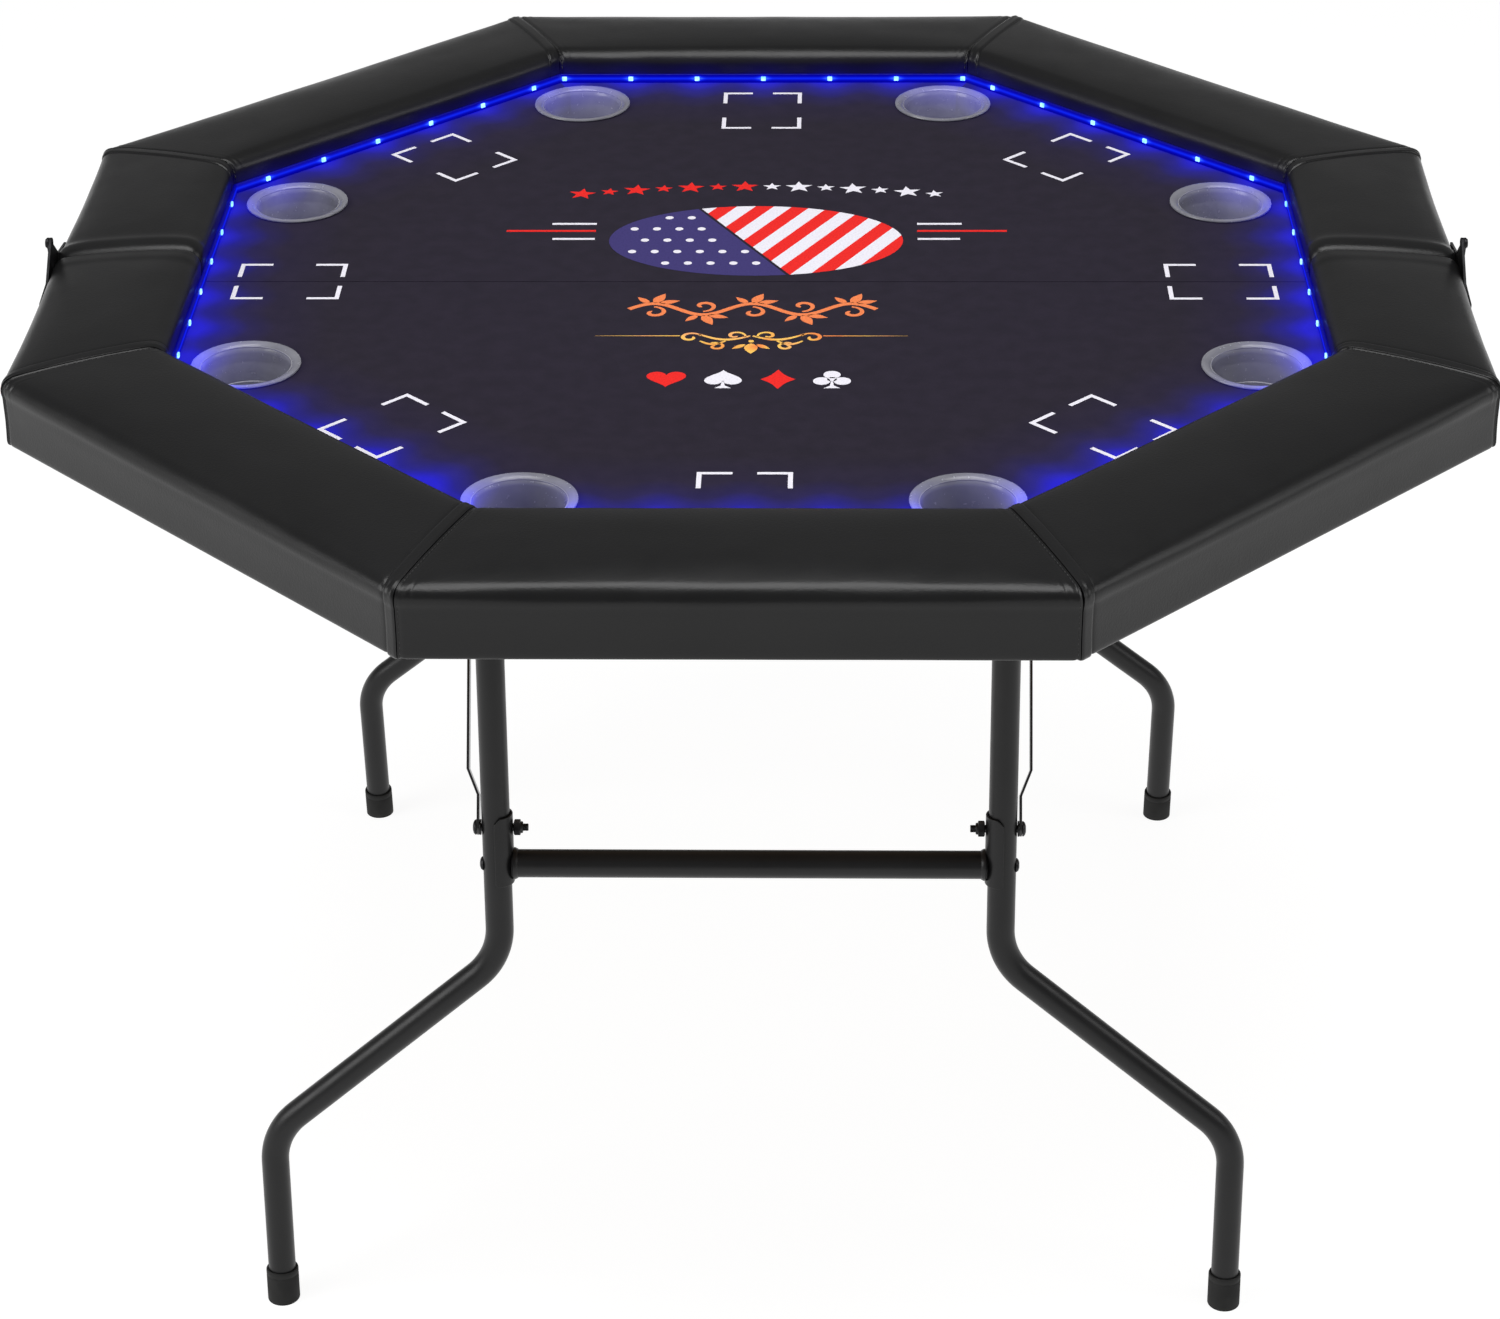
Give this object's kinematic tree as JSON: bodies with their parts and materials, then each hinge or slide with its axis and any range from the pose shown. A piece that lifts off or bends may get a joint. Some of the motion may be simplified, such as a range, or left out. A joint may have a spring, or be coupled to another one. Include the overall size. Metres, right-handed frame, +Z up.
{
  "type": "folding poker table",
  "caption": "Octagonal card table with padded rail, printed cloth, drop-in cup holders, light strip and folding tube legs; the top folds in half.",
  "frame": {"origin": "on the floor below the middle of the top", "axes": "+Z up, +X to the right along the fold line, -Y towards the front side"},
  "size_m": [1.1374, 1.1262, 0.7721],
  "materials": {
    "rail_cover": "smooth black artificial leather over foam, sewn",
    "rail_wood": "plain softwood, hidden",
    "board_wood": "fibreboard",
    "playing_cloth": "matt printed speed cloth",
    "cup_plastic": "smoky translucent",
    "light_strip": "glowing blue",
    "foot_rubber": "matt black",
    "stay_steel": "dark, bright edges",
    "bolt_steel": "black oxide",
    "hinge_steel": "satin black",
    "frame_paint": "satin black powder coat",
    "box_plastic": "fine grain",
    "button_plastic": "smooth"
  },
  "bodies": {
    "front_half": {"front_board": "board_wood", "front_cushion": "rail_cover", "front_left_diagonal_cushion": "rail_cover", "front_left_end_cup_holder": "cup_plastic", "front_left_fold_hinge": "hinge_steel", "front_left_leg_bracket": "frame_paint", "front_left_side_cup_holder": "cup_plastic", "front_left_side_cushion": "rail_cover", "front_light_strip": "light_strip", "front_playing_cloth": "playing_cloth", "front_rail_core": "rail_wood", "front_right_diagonal_cushion": "rail_cover", "front_right_end_cup_holder": "cup_plastic", "front_right_fold_hinge": "hinge_steel", "front_right_leg_bracket": "frame_paint", "front_right_side_cup_holder": "cup_plastic", "front_right_side_cushion": "rail_cover", "light_control_box": "box_plastic"},
    "rear_half": {"rear_board": "board_wood", "rear_cushion": "rail_cover", "rear_left_diagonal_cushion": "rail_cover", "rear_left_end_cup_holder": "cup_plastic", "rear_left_fold_hinge": "hinge_steel", "rear_left_leg_bracket": "frame_paint", "rear_left_side_cup_holder": "cup_plastic", "rear_left_side_cushion": "rail_cover", "rear_light_strip": "light_strip", "rear_playing_cloth": "playing_cloth", "rear_rail_core": "rail_wood", "rear_right_diagonal_cushion": "rail_cover", "rear_right_end_cup_holder": "cup_plastic", "rear_right_fold_hinge": "hinge_steel", "rear_right_leg_bracket": "frame_paint", "rear_right_side_cup_holder": "cup_plastic", "rear_right_side_cushion": "rail_cover"},
    "front_legs": {"front_crossbar": "frame_paint", "front_left_foot_cap": "foot_rubber", "front_left_leg_tube": "frame_paint", "front_left_stay_bolt": "bolt_steel", "front_pivot_tube": "frame_paint", "front_right_foot_cap": "foot_rubber", "front_right_leg_tube": "frame_paint", "front_right_stay_bolt": "bolt_steel"},
    "rear_legs": {"rear_crossbar": "frame_paint", "rear_left_foot_cap": "foot_rubber", "rear_left_leg_tube": "frame_paint", "rear_left_stay_bolt": "bolt_steel", "rear_pivot_tube": "frame_paint", "rear_right_foot_cap": "foot_rubber", "rear_right_leg_tube": "frame_paint", "rear_right_stay_bolt": "bolt_steel"},
    "front_upper_stays": {"front_left_upper_stay": "stay_steel", "front_right_upper_stay": "stay_steel"},
    "front_lower_stays": {"front_left_lower_stay": "stay_steel", "front_right_lower_stay": "stay_steel"},
    "rear_upper_stays": {"rear_left_upper_stay": "stay_steel", "rear_right_upper_stay": "stay_steel"},
    "rear_lower_stays": {"rear_left_lower_stay": "stay_steel", "rear_right_lower_stay": "stay_steel"},
    "light_button": {"light_button": "button_plastic"}
  },
  "joints": [
    {"name": "top_fold", "type": "hinge", "parent": "front_half", "child": "rear_half", "pos_m": [0, 0, 0.7676], "axis": [1, 0, 0], "range_deg": [0, 180]},
    {"name": "front_leg_fold", "type": "hinge", "parent": "front_half", "child": "front_legs", "pos_m": [0, -0.3, 0.69], "axis": [1, 0, 0], "range_deg": [0, 84.7]},
    {"name": "rear_leg_fold", "type": "hinge", "parent": "rear_half", "child": "rear_legs", "pos_m": [0, 0.3, 0.69], "axis": [-1, 0, 0], "range_deg": [0, 94.4]},
    {"name": "front_upper_stay_turn", "type": "hinge", "parent": "front_half", "child": "front_upper_stays", "pos_m": [0, -0.155, 0.703], "axis": [1, 0, 0], "range_deg": [-48, 0]},
    {"name": "front_lower_stay_turn", "type": "hinge", "parent": "front_legs", "child": "front_lower_stays", "pos_m": [0, -0.3291, 0.42228], "axis": [1, 0, 0], "range_deg": [0, 28]},
    {"name": "rear_upper_stay_turn", "type": "hinge", "parent": "rear_half", "child": "rear_upper_stays", "pos_m": [0, 0.155, 0.703], "axis": [-1, 0, 0], "range_deg": [-45, 0]},
    {"name": "rear_lower_stay_turn", "type": "hinge", "parent": "rear_legs", "child": "rear_lower_stays", "pos_m": [0, 0.3291, 0.42228], "axis": [-1, 0, 0], "range_deg": [0, 31]},
    {"name": "light_button_press", "type": "slide", "parent": "front_half", "child": "light_button", "axis": [0, 0, 1], "range_m": [0, 0.0012], "stiffness_N_per_m": 300}
  ],
  "couplings": [
    {"joint": "front_upper_stay_turn", "follows": "front_leg_fold", "ratio": -0.5331},
    {"joint": "front_lower_stay_turn", "follows": "front_leg_fold", "ratio": 0.3081},
    {"joint": "rear_upper_stay_turn", "follows": "rear_leg_fold", "ratio": -0.4494},
    {"joint": "rear_lower_stay_turn", "follows": "rear_leg_fold", "ratio": 0.3093}
  ]
}
